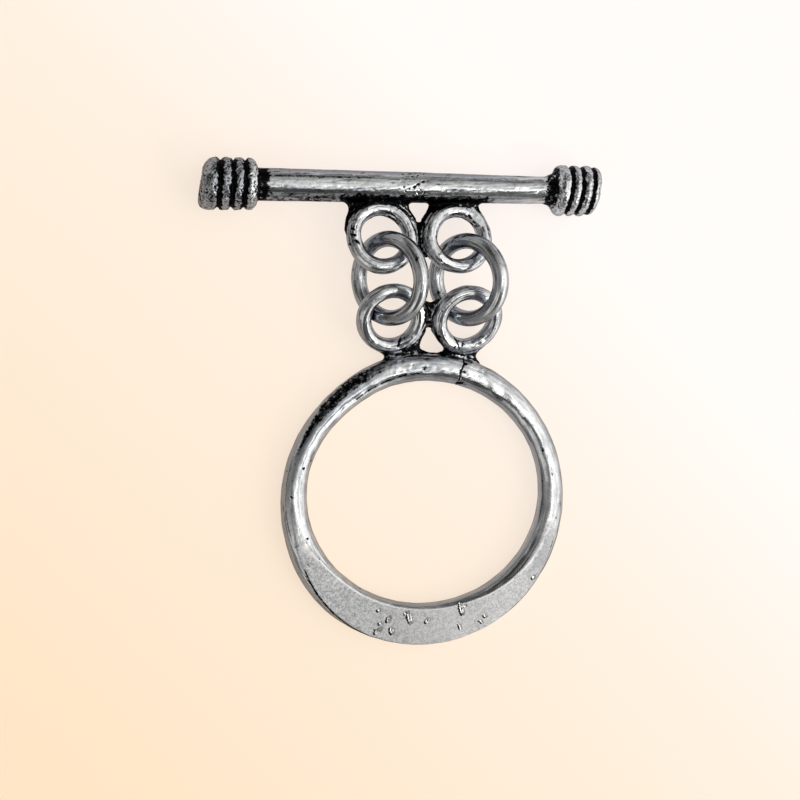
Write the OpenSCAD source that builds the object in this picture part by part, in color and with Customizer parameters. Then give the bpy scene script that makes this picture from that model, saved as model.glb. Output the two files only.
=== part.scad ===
// Two-strand toggle clasp in oxidised silver, lying flat.
// A bar with ribbed ends and a filed ring each carry two soldered links.
// Two loose middle links join them.
// Millimetres. X runs along the bar, Y from the ring to the bar, Z up.
// The origin is the centre of the ring's opening, on the surface that the clasp lies on.

/* [Ring] */
// Width of the opening, along X
ring_hole_w = 19.05; // [14:0.05:28]
// Height of the opening, along Y
ring_hole_h = 18; // [13:0.05:26]
// Wall at the links' side
ring_top_w = 2.3; // [2.1:0.05:4]
// Wall at the widened, filed side
ring_bottom_w = 3.4; // [2.4:0.05:5]
// Wall at the left and right sides
ring_side_w = 2.05; // [2:0.05:3]
// Thickness of the ring, which is the diameter of its rounded edges
ring_thick = 1.95; // [1.4:0.05:2]
// Depth filed away at the widened side's rim
filed_depth = 0.5; // [0.2:0.05:0.8]
// Distance below the opening's centre where the filed face starts
filed_start = 2.9; // [0:0.1:6]
// Turn of the filed face about the vertical, in degrees
filed_turn = 4; // [-10:0.5:10]

/* [Bar] */
// Length of the bar over its ends
bar_len = 31.7; // [26:0.1:44]
// Place of the bar's middle along X
bar_x = -1.95; // [-4:0.05:4]
// Turn of the bar about the vertical, in degrees
bar_turn = 0.5; // [-2:0.1:2]
// Diameter of the rod at its left end
rod_left_d = 2.5; // [2:0.05:3.2]
// Diameter of the rod at its right end
rod_right_d = 2.1; // [1.8:0.05:3]

/* [Ribbed ends] */
// Diameter over the ridges
end_d = 4.05; // [3.6:0.05:6]
// Number of ridges on each end
ridges = 4; // [3:1:6]
// Distance from ridge to ridge
ridge_pitch = 1.07; // [0.8:0.01:1.4]
// Depth of the grooves between the ridges
groove_depth = 0.32; // [0.15:0.01:0.5]
// Length of the cone between the left end and the rod
left_collar_len = 0.25; // [0.1:0.05:1.5]
// Length of the cone between the right end and the rod
right_collar_len = 0.8; // [0.1:0.05:1.5]

/* [Soldered links] */
// Hole of a soldered link
link_hole = 3.4; // [2.9:0.05:4.4]
// Wire of a soldered link
link_wire = 1.2; // [0.8:0.05:1.5]
// Distance between the two strands
strand_pitch = 6.2; // [5.8:0.05:8]
// Rise of the ring's links from the ring, in degrees
ring_link_rise = 21; // [14:1:26]
// Rise of the bar's links from the bar, in degrees
bar_link_rise = 12; // [6:1:18]

/* [Middle links] */
// Hole of a middle link
mid_hole = 4.9; // [4.2:0.05:6]
// Wire of a middle link
mid_wire = 1.25; // [0.8:0.05:1.5]
// Sideways tilt of a middle link, in degrees
mid_tilt = 47; // [40:1:56]
// Clearance under a middle link
floor_gap = 0.05; // [0.02:0.01:0.3]
// Distance from a soldered link's centre to the end of the middle link in it
link_play = 0.14; // [0:0.01:0.2]
// Distance by which a middle link lies nearer the ring than half way
mid_drop = 0.1; // [0:0.01:0.3]

/* [Solder] */
// Gap between the ring and its links, which solder fills
neck_len = 0.45; // [0.2:0.05:0.8]
// Width of the solder between the ring and a link
neck_w = 2.5; // [1.4:0.1:3]
// Width of the solder between the bar and a link
seat_w = 3.2; // [1.4:0.1:4]
// Depth to which soldered metal runs together
bite = 0.3; // [0.2:0.05:0.5]
// Length of the web between the two links of a pair
web_len = 1.5; // [1:0.1:2.4]

/* [Hidden] */
$fn = 72;
silver = [0.74, 0.74, 0.75];
dark_silver = [0.6, 0.6, 0.61];

LEFT = 0;
RIGHT = 1;
SIDES = [LEFT, RIGHT];
// Sideways places of the two links at each level, as shares of strand_pitch
RING_LINK_X = [-0.46, 0.525];
MID_LINK_X = [-0.505, 0.506];
BAR_LINK_X = [-0.592, 0.38];
// Sideways tilts of the soldered links, left and right, in degrees
RING_LINK_TILT = [7, 8];
BAR_LINK_TILT = [4, 10];
// Sideways place of each neck from its link's centre, as shares of neck_w
NECK_X = [0.36, -0.08];

// Links: radii of the wire and of the circle along its middle
link_r = link_wire / 2;
link_path_r = link_hole / 2 + link_r;
mid_r = mid_wire / 2;
mid_path_r = mid_hole / 2 + mid_r;

// Ring: an oval is two equal circles a little apart, which together or where they cross
// have its width and height
ring_w = ring_hole_w + 2 * ring_side_w;
ring_h = ring_hole_h + ring_top_w + ring_bottom_w;
ring_rim_y = (ring_top_w - ring_bottom_w) / 2;
ring_edge_r = ring_thick / 2;
ring_mid_z = ring_thick / 2;
function circle_r(across, along) = (across + along * along / across) / 4;
rim_across = min(ring_w, ring_h);
rim_r = circle_r(rim_across, max(ring_w, ring_h));
rim_shift = (rim_r - rim_across / 2) * (ring_w < ring_h ? [1, 0, 0] : [0, 1, 0]);
hole_across = max(ring_hole_w, ring_hole_h);
hole_r = circle_r(hole_across, min(ring_hole_w, ring_hole_h));
hole_shift = (hole_across / 2 - hole_r) * (ring_hole_w > ring_hole_h ? [1, 0, 0] : [0, 1, 0]);
filed_fall = atan(filed_depth / (ring_h / 2 - ring_rim_y - filed_start));

// Bar: it lies on its ribbed ends
bar_z = end_d / 2;
rod_mid_r = (rod_left_d + rod_right_d) / 4;
// The ridge whose neighbour, one pitch on, meets it at the groove's depth
ridge_r = (pow(ridge_pitch / 2, 2) + pow(groove_depth, 2)) / (2 * groove_depth);
ridge_path_r = end_d / 2 - ridge_r;
end_core_r = end_d / 2 - groove_depth;
end_len = 2 * ridge_r + (ridges - 1) * ridge_pitch;
rod_half_len = bar_len / 2 - end_len;

// The chain: each link's place follows from the ring's rim, the bar's height and its own size
ring_link_reach = neck_len + link_r + link_path_r;
bar_link_seat = rod_mid_r + link_r - bite / 3;
link_step = 2 * (mid_path_r + link_play);
mid_z = floor_gap + mid_r + mid_path_r * sin(mid_tilt);
ring_link_z = ring_mid_z + ring_link_reach * sin(ring_link_rise);
bar_link_z = bar_z + link_path_r * sin(bar_link_rise);
mid_rise = asin((bar_link_z - ring_link_z) / link_step);

function rim_y(x) = ring_rim_y + ring_h / 2 * sqrt(1 - pow(2 * x / ring_w, 2));
function ring_link_x(side) = RING_LINK_X[side] * strand_pitch;
function mid_x(side) = MID_LINK_X[side] * strand_pitch;
function bar_link_x(side) = BAR_LINK_X[side] * strand_pitch;
function ring_link_y(side) = rim_y(ring_link_x(side)) + ring_link_reach * cos(ring_link_rise);
function mean(v) = (v[LEFT] + v[RIGHT]) / 2;

// The bar stands off the ring by the mean length of the two strands
bar_link_mean_y = mean([for (side = SIDES) ring_link_y(side)]) + link_step * cos(mid_rise);
bar_link_mean_x = mean([for (side = SIDES) bar_link_x(side)]);
bar_link_off = bar_link_seat + link_path_r * cos(bar_link_rise);
bar_y = bar_link_mean_y + bar_link_off + (bar_link_mean_x - bar_x) * tan(bar_turn);
function bar_axis_y(x) = bar_y - (x - bar_x) * tan(bar_turn);
function bar_link_y(side) = bar_axis_y(bar_link_x(side)) - bar_link_off;
function mid_y(side) = (ring_link_y(side) + bar_link_y(side)) / 2 - mid_drop;

// Webs: they bridge the space left between the two links of a pair
function link_half_w(tilt) = link_r + link_path_r * cos(tilt);
function inner_edge(x, tilt, side) = x + (side == LEFT ? 1 : -1) * link_half_w(tilt);

module torus(path_r, wire_r) {
    rotate_extrude()
        translate([path_r, 0])
            circle(r = wire_r);
}

// A wire link: rise lifts its +Y side, tilt lifts its left side
module link(path_r, wire_r, rise, tilt) {
    rotate([rise, tilt, 0])
        torus(path_r, wire_r);
}

// A rod with round ends, along X
module capsule(r, len) {
    rotate([0, 90, 0])
        cylinder(r = r, h = len, center = true);
    for (end = [-1, 1])
        translate([end * len / 2, 0, 0])
            sphere(r = r);
}

// A disc with a half-round edge, lying on z = 0
module round_disc(r, edge_r) {
    rotate_extrude()
        intersection() {
            translate([r - edge_r, edge_r])
                union() {
                    circle(r = edge_r);
                    translate([edge_r - r, -edge_r])
                        square([r - edge_r, 2 * edge_r]);
                }
            square([2 * r, 2 * edge_r]);
        }
}

// The space inside a hole whose wall is half-round
module round_hole(r, edge_r) {
    rotate_extrude()
        difference() {
            square([r + edge_r, 2 * edge_r]);
            translate([r + edge_r, edge_r])
                circle(r = edge_r);
        }
}

module filed_space() {
    reach = 2 * ring_h;
    rotate([0, 0, filed_turn])
        translate([0, -filed_start, ring_thick])
            rotate([filed_fall, 0, 0])
                translate([-reach / 2, -reach, 0])
                    cube([reach, reach, ring_thick]);
}

module ring_body() {
    difference() {
        translate([0, ring_rim_y, 0])
            intersection() {
                translate(rim_shift)
                    round_disc(rim_r, ring_edge_r);
                translate(-rim_shift)
                    round_disc(rim_r, ring_edge_r);
            }
        for (side = [-1, 1])
            translate(side * hole_shift)
                round_hole(hole_r, ring_edge_r);
        filed_space();
    }
}

// Solder that fills the gap between the ring's rim and a link
module ring_neck(side) {
    r = neck_len / 2 + bite;
    x = ring_link_x(side) + NECK_X[side] * neck_w;
    rise = neck_len / 2;
    translate([x, rim_y(x) + rise * cos(ring_link_rise), ring_mid_z + rise * sin(ring_link_rise)])
        capsule(r, neck_w - 2 * r);
}

// Solder between the two links of a pair, which fills the space left between them
module link_web(x, tilt, y, z) {
    edges = [for (side = SIDES) inner_edge(x[side], tilt[side], side)];
    translate([mean(edges), y, z])
        rotate([0, 0, 90])
            capsule((edges[RIGHT] - edges[LEFT]) / 2 + bite, web_len);
}

module ring_web() {
    x = [for (side = SIDES) ring_link_x(side)];
    y = mean([for (side = SIDES) ring_link_y(side)]) + link_r / 2;
    link_web(x, RING_LINK_TILT, y, ring_link_z);
}

module toggle_ring() {
    color(silver) {
        ring_body();
        for (side = SIDES) {
            translate([ring_link_x(side), ring_link_y(side), ring_link_z])
                link(link_path_r, link_r, ring_link_rise, RING_LINK_TILT[side]);
            ring_neck(side);
        }
        ring_web();
    }
}

// Wound ridges on a core; its outer face is at x = 0 and it runs to -x, down to the rod by a cone
module ribbed_end(collar_len, rod_r) {
    rotate([0, -90, 0]) {
        for (i = [0 : ridges - 1])
            translate([0, 0, ridge_r + i * ridge_pitch])
                torus(ridge_path_r, ridge_r);
        translate([0, 0, ridge_r])
            cylinder(r = end_core_r, h = end_len - 2 * ridge_r);
        cylinder(r = ridge_path_r, h = end_len);
        translate([0, 0, end_len - ridge_r])
            cylinder(r1 = end_core_r, r2 = rod_r, h = ridge_r + collar_len);
    }
}

module rod() {
    rotate([0, 90, 0])
        cylinder(d1 = rod_left_d, d2 = rod_right_d, h = 2 * rod_half_len, center = true);
}

// Solder between the rod and the top of a link
module bar_seat(side) {
    x = bar_link_x(side);
    translate([x, bar_axis_y(x) - rod_mid_r - link_r / 2, bar_z])
        capsule(link_r, seat_w - link_wire);
}

module bar_web() {
    x = [for (side = SIDES) bar_link_x(side)];
    y = mean([for (side = SIDES) bar_link_y(side)]);
    lift = link_path_r * (sin(BAR_LINK_TILT[RIGHT]) - sin(BAR_LINK_TILT[LEFT])) / 2;
    link_web(x, BAR_LINK_TILT, y, bar_link_z + lift);
}

module toggle_bar() {
    color(silver) {
        translate([bar_x, bar_y, bar_z])
            rotate([0, 0, -bar_turn]) {
                rod();
                translate([bar_len / 2, 0, 0])
                    ribbed_end(right_collar_len, rod_right_d / 2);
                translate([-bar_len / 2, 0, 0])
                    mirror([1, 0, 0])
                        ribbed_end(left_collar_len, rod_left_d / 2);
            }
        for (side = SIDES) {
            translate([bar_link_x(side), bar_link_y(side), bar_link_z])
                link(link_path_r, link_r, -bar_link_rise, BAR_LINK_TILT[side]);
            bar_seat(side);
        }
        bar_web();
    }
}

module middle_link(side) {
    color(dark_silver)
        translate([mid_x(side), mid_y(side), mid_z])
            link(mid_path_r, mid_r, mid_rise, -mid_tilt);
}

module middle_link_left() {
    middle_link(LEFT);
}

module middle_link_right() {
    middle_link(RIGHT);
}

toggle_bar();
toggle_ring();
middle_link_left();
middle_link_right();
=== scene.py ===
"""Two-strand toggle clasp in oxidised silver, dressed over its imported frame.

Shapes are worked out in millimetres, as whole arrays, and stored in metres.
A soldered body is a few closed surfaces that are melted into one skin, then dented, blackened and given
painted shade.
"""

from collections import namedtuple
from types import SimpleNamespace

import bpy
import numpy as np
from bpy.props import FloatProperty, FloatVectorProperty
from mathutils import Matrix, Vector


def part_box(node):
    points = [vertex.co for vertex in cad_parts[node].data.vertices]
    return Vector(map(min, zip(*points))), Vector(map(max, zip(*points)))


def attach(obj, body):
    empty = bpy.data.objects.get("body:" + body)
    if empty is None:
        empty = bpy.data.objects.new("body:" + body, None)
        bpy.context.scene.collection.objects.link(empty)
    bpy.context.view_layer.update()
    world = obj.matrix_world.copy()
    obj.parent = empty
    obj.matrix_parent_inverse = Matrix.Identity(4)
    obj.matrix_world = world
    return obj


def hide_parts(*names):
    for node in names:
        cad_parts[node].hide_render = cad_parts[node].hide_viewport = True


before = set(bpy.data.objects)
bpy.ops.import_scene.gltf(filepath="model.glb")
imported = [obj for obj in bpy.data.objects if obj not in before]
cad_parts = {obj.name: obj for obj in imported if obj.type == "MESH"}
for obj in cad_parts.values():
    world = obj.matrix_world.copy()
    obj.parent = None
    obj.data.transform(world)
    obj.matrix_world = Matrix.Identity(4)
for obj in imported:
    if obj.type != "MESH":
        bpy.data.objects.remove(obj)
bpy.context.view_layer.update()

bl_info = {
    "name": "Toggle clasp",
    "version": (1, 0, 0),
    "blender": (4, 5, 0),
    "location": "3D View > Sidebar > Clasp",
    "description": "Builds an oxidised silver toggle clasp: ribbed bar, filed ring and loose links",
    "category": "Object",
}

MM = 0.001
LEFT, RIGHT = 0, 1
SIDES = (LEFT, RIGHT)
MIDDLE_NODES = ("middle_link_left", "middle_link_right")
Skin = namedtuple("Skin", "points faces")
Pool = namedtuple("Pool", "thickness height rise outline")
Link = namedtuple("Link", "centre turn path_radius")
# Triangles of a soldered body, and a distance that stands for far away, in mm
TRIANGLES = 194000
FAR = 99.0

# Sideways places of the soldered links as shares of the strand pitch, and their tilts in degrees
RING_LINK_X = (-0.46, 0.525)
BAR_LINK_X = (-0.592, 0.38)
RING_LINK_TILT = (7.0, 8.0)
BAR_LINK_TILT = (4.0, 10.0)
# Middles of the grooves in the ribbed ends, from each end's outer face, in mm
LEFT_GROOVES = (1.36, 2.36, 3.3)
RIGHT_GROOVES = (0.7, 1.62, 2.5)
# Pools of solder: thickness, height over the floor at y = 0, its rise along Y, outline seen from above; mm
BAR_POOLS = (
    Pool(0.8, 6.72, -0.21, (
        (-7.8, 24.0), (-7.4, 23.4), (-6.6, 23.15), (-6.15, 22.85), (-6.3, 22.4), (-6.5, 21.8),
        (-6.62, 21.2), (-6.66, 20.6), (-6.2, 20.4), (-5.6, 21.25), (-3.7, 22.3), (-1.95, 21.3),
        (-0.68, 21.57), (-1.2, 22.4), (-1.52, 22.9), (-1.4, 23.2), (-0.9, 23.45), (-1.0, 24.1),
    )),
    Pool(0.8, 6.72, -0.21, (
        (-0.2, 24.1), (-0.1, 23.45), (0.26, 23.2), (0.2, 22.9), (-0.15, 22.3), (-0.65, 21.57),
        (0.45, 21.15), (2.35, 22.3), (4.2, 21.25), (4.75, 20.7), (4.98, 21.1), (4.85, 21.7), (4.5, 22.3),
        (4.2, 22.8), (4.1, 23.1), (4.5, 23.35), (5.7, 23.55), (5.7, 24.2),
    )),
    Pool(0.8, 6.75, -0.21, (
        (-1.15, 21.75), (-0.67, 21.6), (-0.1, 21.75), (0.05, 20.2), (-0.1, 18.75), (-0.63, 18.95),
        (-1.1, 18.75), (-1.25, 20.2),
    )),
)
RING_POOLS = (
    Pool(0.85, -3.32, 0.38, (
        (-4.75, 12.25), (-4.1, 11.55), (-3.6, 11.3), (-3.1, 11.0), (-3.45, 10.55), (-2.7, 9.9),
        (-0.25, 10.0), (0.8, 11.2), (0.0, 11.42), (-0.44, 11.65), (-0.32, 12.2), (0.16, 13.25),
        (-0.95, 13.25), (-2.0, 12.15), (-3.3, 12.15),
    )),
    Pool(0.85, -3.32, 0.38, (
        (0.25, 13.25), (0.9, 12.45), (1.42, 11.8), (1.75, 11.45), (0.9, 11.22), (1.4, 10.5), (3.25, 9.8),
        (4.9, 9.8), (4.6, 10.55), (4.17, 10.95), (4.5, 11.35), (5.2, 11.95), (4.65, 12.4), (3.4, 11.95),
        (2.05, 12.3), (1.2, 13.25),
    )),
    Pool(0.8, -3.3, 0.38, (
        (-0.65, 15.65), (0.17, 15.3), (0.95, 15.65), (1.05, 14.05), (0.85, 13.1), (0.21, 13.35),
        (-0.4, 13.1), (-0.65, 14.2),
    )),
)

# How far the ring's edges stand from true ovals: (angle, inner edge, outer edge), degrees and mm
RING_BENDS = (
    (0, 0.0, 0.0),
    (100, 0.0, 0.0),
    (118, -0.15, -0.15),
    (135, -0.27, -0.27),
    (155, -0.12, -0.12),
    (180, 0.0, 0.0),
    (205, 0.0, 0.12),
    (225, 0.0, 0.24),
    (245, 0.0, 0.1),
    (270, 0.0, 0.0),
    (360, 0.0, 0.0),
)
# Edges of the filed face: (angle, distance from the hole, distance from the rim), degrees and mm
FILED_EDGES = (
    (201, 1.05, 0.95),
    (213, 0.6, 0.7),
    (225, 0.45, 0.5),
    (238, 0.43, 0.28),
    (252, 0.42, 0.06),
    (270, 0.43, 0.04),
    (290, 0.52, 0.05),
    (305, 0.76, 0.12),
    (320, 1.0, 0.3),
    (335, 1.12, 0.5),
    (348, 1.17, 0.85),
)
# Dents in the filed face: (x, y, half length, half width, turn, depth), mm and degrees
FILED_DENTS = (
    (-3.78, -9.34, 0.16, 0.15, 0, 0.14),
    (-2.97, -10.12, 0.34, 0.16, 70, 0.2),
    (-3.62, -10.42, 0.17, 0.14, 20, 0.14),
    (-3.8, -11.05, 0.4, 0.2, 40, 0.26),
    (-2.7, -11.12, 0.36, 0.17, 110, 0.22),
    (-1.27, -10.03, 0.62, 0.19, 104, 0.3),
    (-1.64, -9.7, 0.2, 0.09, 110, 0.1),
    (0.22, -10.35, 0.28, 0.19, 60, 0.2),
    (2.98, -9.5, 0.58, 0.17, 106, 0.24),
    (3.25, -9.2, 0.2, 0.14, 40, 0.2),
    (2.92, -10.98, 0.34, 0.08, 110, 0.09),
    (5.0, -10.16, 0.2, 0.13, 140, 0.14),
    (4.71, -10.64, 0.26, 0.07, 130, 0.09),
    (9.0, -7.09, 0.18, 0.18, 0, 0.15),
)
# Black joints of the ring's links, and pits of its own joint: (x, y, half length, half width, turn)
LINK_MARKS = (
    (-2.2, 12.05, 0.5, 0.1, 75),
    (2.45, 12.1, 0.6, 0.08, 115),
    (2.3, 11.75, 0.16, 0.12, 0),
    (3.24, 10.35, 0.18, 0.13, 0),
    (3.1, 9.75, 0.11, 0.09, 0),
    (2.95, 9.25, 0.12, 0.09, 60),
    (2.82, 8.8, 0.24, 0.15, 20),
)
# Black cuts in the bar's links, in the same way
BAR_MARKS = (
    (-6.06, 21.02, 0.2, 0.09, 150),
    (-5.98, 20.53, 0.2, 0.1, 165),
    (-5.73, 20.0, 0.24, 0.1, 140),
    (-6.3, 19.82, 0.1, 0.08, 0),
    (3.42, 22.05, 0.22, 0.1, 130),
    (3.7, 21.2, 0.26, 0.1, 110),
)
# Half width of the painted dark reflection band at the ring's upper left: (angle, half width), degrees and
# mm
DARK_REFLECTION_BAND = ((105, 0.26), (122, 0.36), (138, 0.34), (149, 0.14), (156, 0.05), (172, 0.02))
# Places with finishes of their own, as middle and reach in mm, where a middle of two numbers is seen from
# above: ripples beside the seam, ripples on the bar's left link, the black flank of the ring's right link
SEAM_RIPPLES = ((0.2, 10.3), 3.2)
LINK_RIPPLES = ((-5.9, 21.4, 2.8), 1.1)
BLACK_FLANK = ((0.75, 12.6, 2.0), 1.5)
# Where the soldered links lie: beyond the ring's rim by this much, and on the bar under this y and between
# -x and x; and the x of the gap between the left and the right one; mm
BEYOND_RIM = 0.25
BAR_LINKS_Y = 22.9
BAR_LINKS_X = 8.0
RING_GAP_X = 0.2
BAR_GAP_X = -0.5
# Pits in the ring's wire, in the way of the dents
RING_PITS = (
    (-10.82, -0.04, 0.13, 0.13, 0, 0.06),
    (-9.86, 2.24, 0.14, 0.14, 0, 0.06),
    (9.62, 3.31, 0.14, 0.14, 0, 0.07),
    (-9.57, -3.35, 0.12, 0.12, 0, 0.05),
)


def length(name, description, millimetres):
    """A length property whose default is given in millimetres."""
    return FloatProperty(
        name=name, description=description, default=millimetres * MM, min=0.0, unit="LENGTH", precision=5
    )


def angle(name, description, degrees):
    """An angle property whose default is given in degrees."""
    return FloatProperty(
        name=name, description=description, default=float(np.radians(degrees)), unit="ROTATION"
    )


def share(name, description, value):
    """A property between 0 and 1."""
    return FloatProperty(name=name, description=description, default=value, min=0.0, max=1.0)


def colour(name, description, value):
    """A colour property."""
    return FloatVectorProperty(
        name=name, description=description, default=value, min=0.0, max=1.0, subtype="COLOR"
    )


class RingSizes(bpy.types.PropertyGroup):
    """Sizes of the ring"""

    hole_width: length("Hole width", "Width of the opening, along X", 19.05)
    hole_height: length("Hole height", "Height of the opening, along Y", 18.0)
    top_wall: length("Top wall", "Wall at the links' side", 2.3)
    bottom_wall: length("Bottom wall", "Wall at the widened, filed side", 3.4)
    side_wall: length("Side wall", "Wall at the left and right", 2.05)
    thickness: length("Thickness", "Thickness of the wire that the ring is made of", 1.95)
    seam_angle: angle("Seam", "Place of the soldered joint round the ring", 73.7)


class BarSizes(bpy.types.PropertyGroup):
    """Sizes of the bar"""

    middle_x: FloatProperty(
        name="Middle", description="Place of the bar's middle along X", default=-1.95 * MM, unit="LENGTH"
    )
    turn: angle("Turn", "Turn of the bar about the vertical", 0.5)
    rod_left: length("Rod, left", "Diameter of the rod at its left end", 2.56)
    rod_middle: length("Rod, middle", "Diameter of the rod at its middle", 2.42)
    rod_right: length("Rod, right", "Diameter of the rod at its right end", 2.16)
    groove_depth: length("Groove depth", "Depth of the grooves between the ridges", 0.42)
    groove_width: length("Groove width", "Distance over which a ridge comes down to its groove", 0.46)
    corner: length("Corner", "Rounding of each end's outer corner", 0.8)
    left_length: length("Left end", "Length of the left end to its shoulder", 4.3)
    left_shoulder: length("Left shoulder", "Rounding of the left end's inner corner", 0.75)
    right_length: length("Right end", "Length of the right end to its shoulder", 3.6)
    right_shoulder: length("Right shoulder", "Rounding of the right end's inner corner", 0.55)
    right_funnel: length("Right funnel", "Length over which the right end comes down to the rod", 0.85)


class LinkSizes(bpy.types.PropertyGroup):
    """Sizes of the links and their solder"""

    hole: length("Hole", "Hole of a soldered link", 3.4)
    wire: length("Wire", "Wire of a soldered link", 1.2)
    pitch: length("Strand pitch", "Distance between the two strands", 6.2)
    ring_rise: angle("Ring link rise", "Rise of the ring's links from the ring", 21.0)
    bar_rise: angle("Bar link rise", "Rise of the bar's links from the bar", 12.0)
    middle_wire: length("Middle wire", "Wire of a loose middle link", 1.25)
    neck_length: length("Neck length", "Gap between the ring and its links, which solder fills", 0.45)
    bite: length("Bite", "Depth to which soldered metal runs together", 0.3)


class Finish(bpy.types.PropertyGroup):
    """Colours and polish of the metal"""

    silver: colour("Silver", "Polished silver", (0.655, 0.68, 0.72))
    tarnish: colour("Tarnish", "Clouds of light tarnish", (0.4, 0.42, 0.45))
    frosted: colour("Frosted", "High spots of the filed face", (0.75, 0.765, 0.8))
    # Dark grey for unpolished places and drawn streaks, and for painted shade on flanks and along dark
    # reflections
    dull_and_shade: colour("Dull", "Unpolished flanks and underside", (0.268, 0.29, 0.33))
    # Black of the oxide in the recesses, also used for painted shade and painted dark reflections
    black: colour("Black", "Black left in the recesses", (0.006, 0.006, 0.007))
    worn_and_glint: colour("Worn", "Edges worn bright", (0.93, 0.94, 0.97))
    # Pale colour for edges worn bright, also used for painted glints and a painted sheen
    polish: share("Polish", "Roughness of the polished wire", 0.12)
    filed: share("Filed", "Roughness of the filed face", 0.6)
    fuse_step: length("Fuse step", "Size of the steps in which a soldered body is melted together", 0.06)


class Studio(bpy.types.PropertyGroup):
    """Floor, lights and camera"""

    cream: colour("Cream", "Floor towards the lower left", (0.93, 0.735, 0.535))
    ivory: colour("Ivory", "Floor in the middle", (0.945, 0.825, 0.71))
    white: colour("White", "Floor towards the upper right", (0.97, 0.915, 0.895))
    glow: FloatProperty(name="Glow", description="Light that comes through the floor's paper", default=0.84)
    right_light: FloatProperty(name="Right light", description="Brightness of the right panel", default=4.6)
    top_light: FloatProperty(name="Top light", description="Brightness of the strip above", default=2.8)
    room_light: FloatProperty(name="Room light", description="Brightness of the room", default=1.0)
    warmth: colour("Warmth", "Colour of the light", (1.0, 0.965, 0.9))


GROUPS = {
    "clasp_ring": RingSizes,
    "clasp_bar": BarSizes,
    "clasp_links": LinkSizes,
    "clasp_finish": Finish,
    "clasp_studio": Studio,
}


def own_properties(group):
    """The properties that a group defines itself."""
    return [prop for prop in group.bl_rna.properties if prop.identifier not in ("rna_type", "name")]


def in_mm(group):
    """The group's values, with its lengths in millimetres."""
    values = {}
    for prop in own_properties(group):
        value = getattr(group, prop.identifier)
        values[prop.identifier] = value / MM if getattr(prop, "unit", "NONE") == "LENGTH" else value
    return SimpleNamespace(**values)


def box_in_mm(node):
    """The lowest and highest corner of a frame node."""
    low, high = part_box(node)
    return np.array(low) / MM, np.array(high) / MM


# Arrays and surfaces


def around(steps):
    """Angles once round a circle."""
    return np.linspace(0.0, 2 * np.pi, steps, endpoint=False)


def near(distance, reach):
    """1 at distance 0, falling smoothly to 0 at the reach."""
    left = np.clip(1 - distance / reach, 0, 1)
    return left * left * (3 - 2 * left)


def stripe(value, half, fade):
    """1 where the value is at most half away from 0, falling to 0 over the fade."""
    return near(np.abs(value) - half, fade)


def from_table(rows, column, degrees, reach=9.0):
    """A table's column at each angle round the ring: straight between rows, then averaged over the reach."""
    table = np.array(rows, float)
    spread = np.linspace(-reach, reach, 9)
    at = (degrees[..., None] + spread) % 360
    return np.interp(at, table[:, 0], table[:, column], period=360).mean(-1)


def within(points, centre, reach):
    """1 at the centre, falling to 0 at the reach from it. A centre of two numbers is seen from above."""
    return near(np.linalg.norm(points[:, :len(centre)] - centre, axis=1), reach)


def lumps(points, size, seed, waves=20):
    """Smooth random relief of about the given size: the mean of sine waves in fixed random directions."""
    chance = np.random.default_rng(seed)
    direction = chance.normal(size=(waves, 3))
    direction /= np.linalg.norm(direction, axis=1, keepdims=True)
    direction *= chance.uniform(0.6, 1.5, (waves, 1)) * 2 * np.pi / size
    start = chance.uniform(0, 2 * np.pi, waves)
    return np.sin(points @ direction.T + start).sum(-1) / np.sqrt(waves)


def grid_skin(points, closed_rows=True):
    """A skin over a grid of points: its columns always close on themselves, and its rows where asked."""
    rows, columns = points.shape[:2]
    number = np.arange(rows * columns).reshape(rows, columns)
    below = np.roll(number, -1, 0) if closed_rows else number[1:]
    here = number if closed_rows else number[:-1]
    faces = np.stack([here, below, np.roll(below, -1, 1), np.roll(here, -1, 1)], -1).reshape(-1, 4)
    skin = Skin(points.reshape(-1, 3), faces)
    return skin if volume(skin) > 0 else Skin(skin.points, faces[:, ::-1])


def volume(skin):
    """Enclosed volume, from the cones that the faces make with the origin."""
    a, b, c, d = (skin.points[skin.faces[:, k]] for k in range(4))
    middle = (a + b + c + d) / 4
    return (middle * np.cross(c - a, d - b)).sum() / 6


def turned(rise, tilt):
    """A turn about X by the rise, then about Y by the tilt, both in radians."""
    return np.array(Matrix.Rotation(tilt, 3, "Y") @ Matrix.Rotation(rise, 3, "X"))


def link_skin(link, wire_radius, seed, unevenness):
    """A link: a circle carried round a larger circle, which is turned and put at its centre.
    Slow waves round the link vary its wire and its path by the unevenness."""
    along = around(264)[:, None]
    across = around(56)[None, :]
    chance = np.random.default_rng(seed)
    start = chance.uniform(0, 2 * np.pi, 4)
    swell = np.sin(2 * along + start[0]) + 0.6 * np.sin(5 * along + start[1])
    bend = np.sin(2 * along + start[2]) + 0.5 * np.sin(3 * along + start[3])
    wire = wire_radius * (1 + unevenness * swell)
    radial = link.path_radius * (1 + 0.6 * unevenness * bend) + wire * np.cos(across)
    height = wire * np.sin(across) + 0.4 * unevenness * link.path_radius * np.sin(2 * along + start[1])
    points = np.stack([radial * np.cos(along), radial * np.sin(along), height], -1)
    return grid_skin(points @ link.turn.T + link.centre)


def closed_outline(corners, steps):
    """Points at even distances round a closed outline, each the mean of its near neighbours."""
    corners = np.array(corners + corners[:1], float)
    way = np.concatenate([[0.0], np.cumsum(np.linalg.norm(np.diff(corners, axis=0), axis=1))])
    at = np.linspace(0.0, way[-1], steps, endpoint=False)
    spread = np.linspace(-0.02, 0.02, 7) * way[-1]
    at = (at[:, None] + spread) % way[-1]
    return np.stack([np.interp(at, way, corners[:, k]).mean(1) for k in (0, 1)], 1)


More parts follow.
